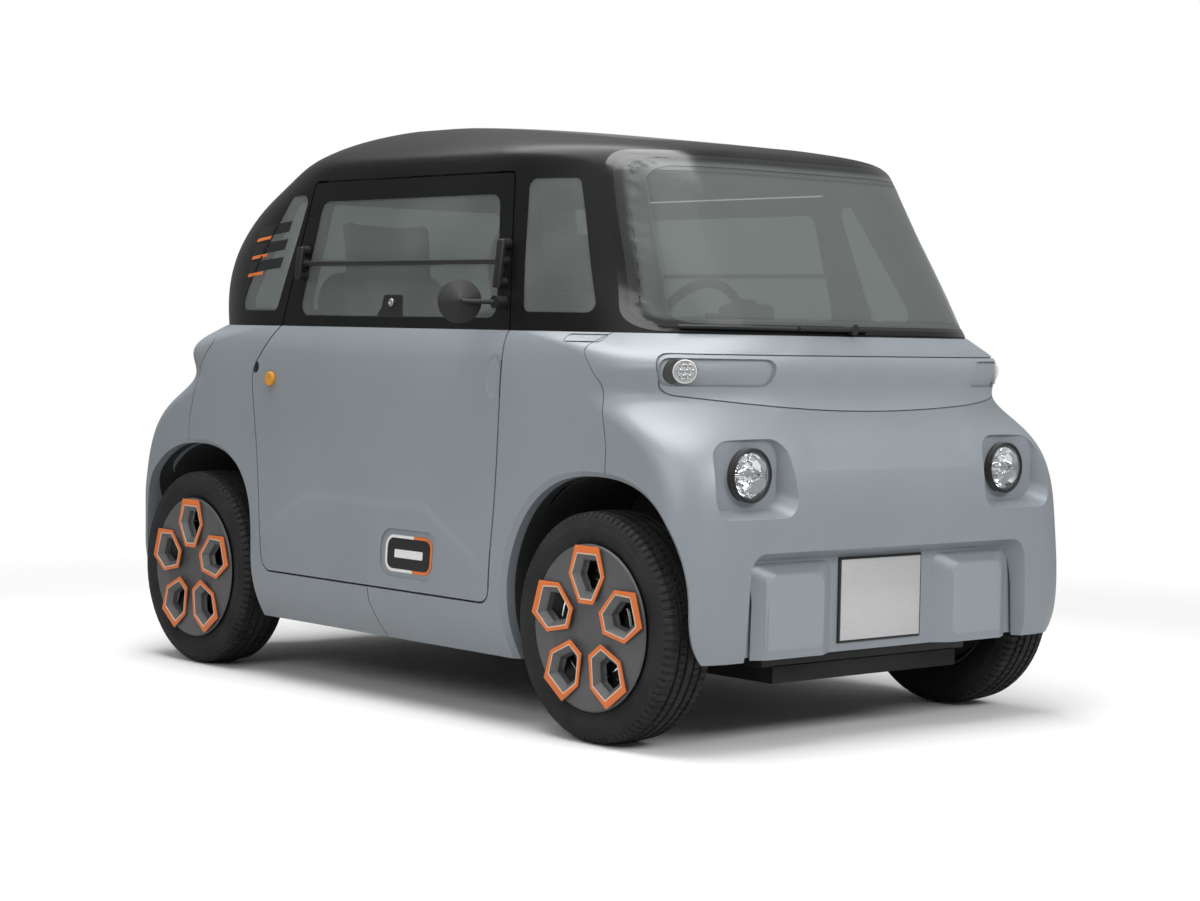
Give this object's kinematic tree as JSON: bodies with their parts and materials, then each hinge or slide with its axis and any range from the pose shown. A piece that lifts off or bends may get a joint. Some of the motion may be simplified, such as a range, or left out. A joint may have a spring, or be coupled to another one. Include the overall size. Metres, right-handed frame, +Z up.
{
  "type": "two-seat electric microcar",
  "caption": "Boxy two-seat electric microcar with alike ends, opposite-hinged doors, glass roof, round lamps and covered wheels that steer and roll.",
  "frame": {"origin": "on the ground, in the middle of the car's length and width", "axes": "front faces -Y, +X is the car's left side, +Z up"},
  "size_m": [1.5575, 2.4098, 1.5199],
  "materials": {
    "body_paint": "satin paint",
    "black_panel": "satin",
    "band_plastic": "matt",
    "tinted_glass": "tinted",
    "lamp": "clear",
    "lamp_red": "gloss",
    "dark_plastic": "grained",
    "steel": "satin paint",
    "rim_steel": "satin paint",
    "tyre": "matt",
    "seat_fabric": "woven",
    "cover_plastic": "satin"
  },
  "bodies": {
    "body": {"windscreen": "tinted_glass", "rear_window": "tinted_glass", "roof_glass": "tinted_glass", "quarter_glass": "tinted_glass", "roof_shell": "black_panel", "wiper": "dark_plastic", "front_fascia": "body_paint", "rear_fascia": "body_paint", "front_band": "band_plastic", "rear_band": "band_plastic", "headlamps": "lamp", "tail_lamps": "lamp_red", "signal_lamps": "lamp", "quarter_front_right": "body_paint", "quarter_rear_right": "body_paint", "quarter_front_left": "body_paint", "quarter_rear_left": "body_paint", "floor_tub": "dark_plastic", "chassis_frame": "steel", "battery_pack": "steel", "drive_unit": "steel", "dashboard": "dark_plastic", "dash_pods": "dark_plastic", "steering_column": "dark_plastic", "seat_right": "dark_plastic", "seat_left": "dark_plastic", "seat_pads_right": "seat_fabric", "seat_pads_left": "seat_fabric", "front_suspension": "steel", "rear_suspension": "steel", "struts": "steel", "rack_housing": "steel", "door_hinges": "dark_plastic"},
    "door_left": {"door_panel_left": "body_paint", "door_glass_left": "tinted_glass", "mirror_rail_left": "dark_plastic"},
    "knuckle_left": {"knuckle_left": "steel"},
    "door_right": {"door_panel_right": "body_paint", "door_glass_right": "tinted_glass", "mirror_rail_right": "dark_plastic"},
    "knuckle_right": {"knuckle_right": "steel"},
    "steering_wheel": {"steering_wheel": "dark_plastic"},
    "steering_rack": {"rack_rod": "steel"},
    "wheel_front_left": {"tyre_front_left": "tyre", "rim_front_left": "rim_steel", "cover_front_left": "cover_plastic"},
    "wheel_front_right": {"tyre_front_right": "tyre", "rim_front_right": "rim_steel", "cover_front_right": "cover_plastic"},
    "wheel_rear_left": {"tyre_rear_left": "tyre", "rim_rear_left": "rim_steel", "cover_rear_left": "cover_plastic"},
    "wheel_rear_right": {"tyre_rear_right": "tyre", "rim_rear_right": "rim_steel", "cover_rear_right": "cover_plastic"}
  },
  "joints": [
    {"name": "door_right_hinge", "type": "hinge", "parent": "body", "child": "door_right", "pos_m": [-0.69447, -0.5025, 0.34007], "axis": [0.057, 0, 0.9984], "range_deg": [0, 75]},
    {"name": "door_left_hinge", "type": "hinge", "parent": "body", "child": "door_left", "pos_m": [0.69447, 0.5025, 0.34007], "axis": [-0.057, 0, 0.9984], "range_deg": [0, 75]},
    {"name": "steer_left", "type": "hinge", "parent": "body", "child": "knuckle_left", "pos_m": [0.548, -0.865, 0.275], "axis": [0, 0, 1], "range_deg": [-28, 28]},
    {"name": "steer_right", "type": "hinge", "parent": "body", "child": "knuckle_right", "pos_m": [-0.548, -0.865, 0.275], "axis": [0, 0, 1], "range_deg": [-28, 28]},
    {"name": "steering_wheel_turn", "type": "hinge", "parent": "body", "child": "steering_wheel", "pos_m": [0.25, -0.235, 0.945], "axis": [0, 0.9445, 0.3287], "range_deg": [-420, 420]},
    {"name": "steering_rack_slide", "type": "slide", "parent": "body", "child": "steering_rack", "axis": [1, 0, 0], "range_m": [-0.05, 0.05]},
    {"name": "spin_front_left", "type": "hinge", "parent": "knuckle_left", "child": "wheel_front_left", "pos_m": [0.604, -0.865, 0.275], "axis": [1, 0, 0], "continuous": true},
    {"name": "spin_front_right", "type": "hinge", "parent": "knuckle_right", "child": "wheel_front_right", "pos_m": [-0.604, -0.865, 0.275], "axis": [1, 0, 0], "continuous": true},
    {"name": "spin_rear_left", "type": "hinge", "parent": "body", "child": "wheel_rear_left", "pos_m": [0.604, 0.865, 0.275], "axis": [1, 0, 0], "continuous": true},
    {"name": "spin_rear_right", "type": "hinge", "parent": "body", "child": "wheel_rear_right", "pos_m": [-0.604, 0.865, 0.275], "axis": [1, 0, 0], "continuous": true}
  ],
  "couplings": [
    {"joint": "steer_right", "follows": "steer_left", "ratio": 1},
    {"joint": "steering_wheel_turn", "follows": "steer_left", "ratio": 15},
    {"joint": "steering_rack_slide", "follows": "steer_left", "m_per_rad": -0.095}
  ]
}
